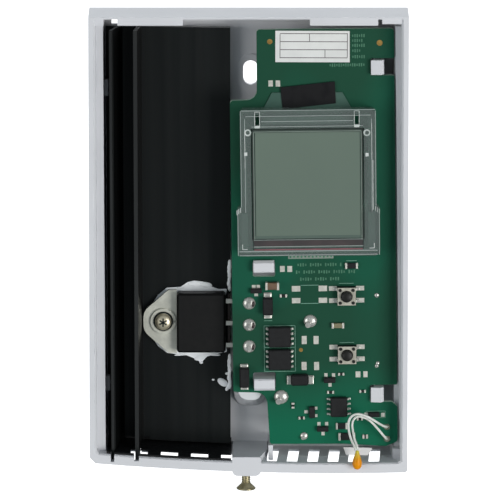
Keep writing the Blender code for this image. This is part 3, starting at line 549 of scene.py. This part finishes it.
def label_lines():
    """The blank ruled table on the paper label, which sits slightly turned."""
    bm = bmesh.new()

    def cube_at(u, v, w, h):
        cube(bm, u, v, w, h, FRONT + 0.13, FRONT + 0.17, turn=-0.016)

    left, right, top, low = -8.65, 7.85, 51.55, 45.6
    row = (top - low) / 3
    for k in range(4):
        cube_at((left + right) / 2, top - k * row, right - left, 0.16)
    for u in (left, right):
        cube_at(u, (top + low) / 2, 0.14, top - low)
    cube_at(-1.4, top - row / 2, 0.14, row)
    cube_at(2.35, low + row / 2, 0.14, row)
    piece("label_table", bm, "ink")


# ---------------------------------------------------------------- display
def display_details():
    """Lines round the display, painted light along the clear holder's edges and on its pins, and the row of
    contacts.
    """
    for name, at, wide, high, width, look, slot in (
            ("display_border", 13.65, 27.0, 29.6, 0.2, "frame", "black_epoxy"),
            ("display_inner_line", 13.75, 26.4, 28.6, 0.12, "line", "display_glass")):
        bm = bmesh.new()
        outline(bm, DISPLAY_U, at, wide, high, width, DISPLAY_FRONT)
        piece(name, bm, look)
    for name, at, height, look in (("display_lower_band", 0.25, 1.4, "reddish"),
                                   ("display_lower_edge", -1.35, 0.3, "pink")):
        bm = bmesh.new()
        cube(bm, DISPLAY_U, at, 26.7, height, 19.1, DISPLAY_FRONT + 0.01)
        piece(name, bm, look)
    bm = bmesh.new()
    for at, height, wide in ((1.12, 0.1, 27.0), (-0.6, 0.1, 27.0), (-1.75, 0.2, 34.0), (-2.75, 0.16, 34.0)):
        cube(bm, DISPLAY_U, at, wide, height, 19.12, 19.28)
    for at, v0, v1 in ((-18.6, 9.4, 33.2), (14.45, 9.4, 33.0), (-19.55, -2.8, 8.7), (15.25, -2.9, 8.6),
                       (-17.6, 8.0, 31.3), (13.5, 8.0, 31.0)):
        cube(bm, at, (v0 + v1) / 2, 0.14, v1 - v0, 19.15, 19.28)
    for at, u0, u1 in ((33.3, -18.5, 14.4), (31.9, -17.4, 13.3), (30.6, -13.6, 9.0), (29.3, -15.9, 11.4)):
        cube(bm, (u0 + u1) / 2, at, u1 - u0, 0.14, 19.15, 19.28)
    # Painted light along the clear holder's edges, as hazy strips.
    piece("holder_edges", bm, "clear_edge")
    holder_painted_highlights()
    bm = bmesh.new()
    cube(bm, -1.65, -4.0, 11.2, 1.1, FRONT - 0.01, FRONT + 0.03)
    piece("display_contact_strip", bm, "line")
    bm = bmesh.new()
    for k in range(12):
        cube(bm, -6.7 + 0.92 * k, -3.95, 0.45, 0.55 if k % 3 else 0.75, FRONT, FRONT + 0.06)
    piece("display_contacts", bm, "silk_dim")


def holder_painted_highlights():
    """Painted highlights on the holder's brightest edges: its slots, posts, steps and lower corners."""
    d0, d1 = 19.2, 19.3
    bm = bmesh.new()
    for at in (-14.5, 9.9):
        outline(bm, at, 31.0, 1.2, 4.0, 0.13, d1)
        cube(bm, at, 29.3, 1.1, 0.6, 19.1, d1)
    for u, v, w, h in ((13.55, 25.5, 0.1, 9.0), (13.75, 14.6, 0.16, 12.4), (-17.6, 24.0, 0.1, 10.0)):
        cube(bm, u, v, w, h, d0, d1)
    for side in (-1, 1):
        for k in range(3):
            cube(bm, DISPLAY_U + side * (16.6 + 0.45 * k), 8.6 - 0.3 * k, 0.14, 1.2, d0, d1)
        cube(bm, DISPLAY_U + side * 15.6, -1.2, 1.2, 0.14, d0, d1)
        cube(bm, DISPLAY_U + side * 16.2, -0.6, 0.14, 1.3, d0, d1)
    for u, v in ((-16.85, 27.9), (12.35, 27.55)):
        ring(bm, u, v, 0.5, 0.85, 19.1, 19.35)
    for u, v in ((-17.4, 22.6), (12.35, 22.1)):
        cube(bm, u, v, 0.75, 0.85, 18.9, 19.4)
    piece("holder_painted_highlights", bm, "glint", bevel=0.03)


# ---------------------------------------------------------------- switches
def switches():
    """The stem that moves with each button, and the four rivets of its cover."""
    for side, v in SWITCH_V.items():
        turned(f"{side}_button_stem", SWITCH_U, v,
               [(1.75, 15.75), (1.75, 16.1), (1.32, 16.1), (1.34, 17.35), (1.28, 17.52), (1.1, 17.65)],
               "stem", axis="d", body=f"{side}_button", on_board=True,
               stands_for=(f"{side}_switch_plunger",))
        bm = bmesh.new()
        for a in (-1, 1):
            for b in (-1, 1):
                disc(bm, SWITCH_U + a * 1.6, v + b * 1.6, 0.42, 16.5, 16.72, n=16)
        piece(f"{side}_switch_rivets", bm, "stem", smooth=True)


# ---------------------------------------------------------------- heat sink side
def paste_details():
    """Smears and blobs of paste on the plate, and a dark bar behind the leads."""
    bm = bmesh.new()
    blobs = ((-13.6, -11.7, 1.9, 0.75, 0), (-10.9, -11.9, 1.8, 0.7, -0.1), (-17.4, -12.7, 2.0, 0.3, 0.05),
             (-7.4, -13.3, 1.3, 0.3, -0.1), (-12.2, -30.6, 1.5, 0.7, 0.2), (-9.0, -29.7, 2.0, 0.35, -0.1),
             (-16.6, -29.7, 2.2, 0.3, 0.1), (-11.9, -31.7, 0.5, 0.45, 0), (-6.5, -36.9, 1.5, 0.9, -0.6),
             (-5.35, -38.4, 0.45, 0.75, -0.5), (-8.9, -36.2, 0.4, 0.25, 0), (-5.4, -34.6, 0.5, 0.35, 0.3))
    for x, z, rx, rz, turn in blobs:
        blob(bm, x, z, rx, rz, 5.62, 0.3, turn)
    for start, steps in ((-6.4, 7), (-30.4, 8)):
        for k in range(steps):
            x, wide = -4.75 - 0.08 * (k % 3), 0.42 + 0.09 * (k % 2)
            blob(bm, x, start - 1.05 * k, wide, 0.9, 5.6, 0.3)
    piece("paste_blobs", bm, "paste", on_board=False, smooth=True)
    bm = bmesh.new()
    # A dark bar between the leads and the board's edge.
    cube(bm, -4.95, -20.8, 0.5, 13.6, 6.6, 8.6)
    piece("dark_bar_behind_leads", bm, "dark_bar", on_board=False)


def power_screw():
    """The power switch's screw: a split washer, a dark ring of painted shade in the gap, a domed head, and
    its star recess drawn as painted shade.
    """
    x, z = TAB_HOLE
    bm = bmesh.new()
    ring(bm, x, z, 2.5, 3.25, 7.22, 7.75, gap=0.16, n=40)
    piece("triac_spring_washer", bm, "tab", on_board=False, bevel=0.08,
          stands_for=("triac_washer",))
    bm = bmesh.new()
    # Painted shade: a dark ring stands for the shadowed gap between the screw head and the washer.
    ring(bm, x, z, 2.02, 2.46, 7.22, 7.3, n=40)
    piece("triac_washer_gap_shade", bm, "frame", on_board=False)
    head = [(1.4, 7.9), (2.04, 7.93), (2.05, 8.42), (1.88, 8.78), (1.53, 9.04), (0.8, 9.25), (0.2, 9.29)]
    turned("triac_screw_head", x, z, head, "screw", axis="d", n=40)
    bm = bmesh.new()
    # Painted shade: the star recess is drawn as dark bars standing on the head.
    for k in range(3):
        cube(bm, x, z, 2.1, 0.36, 8.9, 9.31, 0.5 + k * pi / 3)
    piece("triac_screw_recess_shade", bm, "frame", on_board=False)


def cover_screw():
    """The captive cover screw, with a thread and a conical head whose cross slot is drawn as painted shade.
    """
    x, d, r, pitch = -0.65, 10.0, 1.15, 0.45
    root = r - 0.14
    profile = [(2.3, -63.3), (2.45, -63.15), (2.45, -63.0), (1.25, -61.85), (1.1, -61.6)]
    z = -61.5
    while z < -56.6:
        profile += [(root, z), (r, z + 0.14), (r, z + 0.2), (root, z + 0.36)]
        z += pitch
    profile += [(0.7, -56.1)]
    turned("cover_screw_body", x, d, profile, "zinc", body="cover_screw",
           stands_for=("captive_screw",))
    bm = bmesh.new()
    # Painted shade: the cross slot is drawn as dark bars on the head.
    place = Matrix.Translation((x, -d, -63.2))
    for turn in (0.35, 0.35 + pi / 2):
        bmesh.ops.create_cube(bm, size=1, matrix=place @ Matrix.Rotation(turn, 4, "Z")
                              @ Matrix.Diagonal((2.9, 0.5, 0.24, 1)))
    piece("cover_screw_recess_shade", bm, "frame", body="cover_screw", on_board=False)


def sensor():
    """The sensor's two leads, from the board out over its lower edge, and the bead that they carry."""
    outer = [(34.45, 14.75, -46.2), (34.4, 15.6, -46.05), (33.4, 17.6, -45.3), (31.6, 18.6, -44.0),
             (29.9, 19.0, -42.9), (28.5, 19.2, -42.25), (27.1, 19.3, -41.95), (25.9, 19.4, -42.3),
             (25.05, 19.4, -43.3), (24.8, 19.5, -44.4), (24.9, 19.7, -46.0), (25.4, 20.3, -48.0),
             (26.2, 21.2, -49.6), (26.75, 21.65, -50.9)]
    inner = [(34.45, 14.75, -49.25), (34.4, 15.6, -49.1), (33.2, 17.4, -47.4), (31.7, 18.0, -45.5),
             (29.9, 18.3, -43.7), (28.5, 18.4, -43.0), (27.2, 18.5, -42.75), (26.2, 18.7, -43.3),
             (25.75, 18.9, -44.5), (25.9, 19.3, -46.2), (26.3, 20.2, -48.2), (26.9, 21.2, -49.6),
             (27.2, 21.65, -50.9)]
    wire("sensor_lead_a", outer, 0.3, "wire", stands_for=("thermistor_lead_a",))
    wire("sensor_lead_b", inner, 0.3, "wire", stands_for=("thermistor_lead_b",))
    bead = [(0.1, -55.52), (0.5, -55.4), (0.85, -55.1), (1.1, -54.6), (1.19, -54.0), (1.17, -53.5),
            (1.05, -52.95), (0.85, -52.35), (0.65, -51.8), (0.5, -51.2), (0.42, -50.75), (0.2, -50.6)]
    turned("sensor_bead", 26.95, 21.7, bead, "bead", stands_for=("thermistor_bead",))


# ---------------------------------------------------------------- camera and light
def studio():
    """Camera, two soft lamps at the sides and one above, a pale world, and a white backdrop and floor."""
    aim = Vector((0.35, -14.6, -1.4)) * MM
    elevation, distance = radians(10.5), 1.0
    pixels_per_mm, image_width, sensor_width = 4.04, 500, 36
    back = Vector((0, -cos(elevation), sin(elevation)))
    camera = bpy.data.cameras.new("camera")
    camera.sensor_width = sensor_width
    camera.lens = pixels_per_mm * (distance / MM) / image_width * sensor_width
    camera.clip_start, camera.clip_end = 0.01, 20
    holder = bpy.data.objects.new("camera", camera)
    bpy.context.scene.collection.objects.link(holder)
    holder.location = aim + back * distance
    holder.rotation_mode = "QUATERNION"
    holder.rotation_quaternion = (-back).to_track_quat("-Z", "Y")
    bpy.context.scene.camera = holder

    def area(name, where, size, power, color=(1, 1, 1)):
        light = bpy.data.lights.new(name, "AREA")
        light.energy, light.size, light.color = power, size, color
        lamp = bpy.data.objects.new(name, light)
        bpy.context.scene.collection.objects.link(lamp)
        lamp.location = where
        lamp.rotation_mode = "QUATERNION"
        lamp.rotation_quaternion = (aim - Vector(where)).to_track_quat("-Z", "Y")

    area("key", (0.66, -0.82, -0.1), 0.5, 7.1, (1, 0.985, 0.97))
    area("fill", (-0.8, -0.7, -0.05), 0.6, 3.2, (1, 0.99, 0.98))
    area("top", (0, 0.5, 0.87), 0.5, 3.0)

    world = bpy.data.worlds.new("studio")
    bpy.context.scene.world = world
    world.use_nodes = True
    background = world.node_tree.nodes["Background"]
    background.inputs["Color"].default_value = (0.82, 0.92, 1.0, 1)
    background.inputs["Strength"].default_value = 0.3

    sheet = bpy.data.materials.new("backdrop_white")
    sheet.use_nodes = True
    paper = sheet.node_tree.nodes["Principled BSDF"]
    paper.inputs["Base Color"].default_value = (0.9, 0.9, 0.9, 1)
    paper.inputs["Roughness"].default_value = 0.9
    paper.inputs["Emission Color"].default_value = (1, 1, 1, 1)
    paper.inputs["Emission Strength"].default_value = 1.15
    for name, where, turn in (("backdrop", (0, 1.9, 0), pi / 2), ("floor", (0, 0, -1.6), 0)):
        bpy.ops.mesh.primitive_plane_add(size=9.5, location=where, rotation=(turn, 0, 0))
        stage = bpy.context.object
        stage.name = name
        stage.data.materials.append(sheet)
        stage.visible_diffuse = name == "backdrop"
        stage.visible_glossy = False
    bpy.context.scene.view_settings.view_transform = "Standard"


pads()
legs()
chip_resistors()
solder_joints()
silkscreen()
label_lines()
display_details()
switches()
paste_details()
power_screw()
cover_screw()
sensor()
studio()
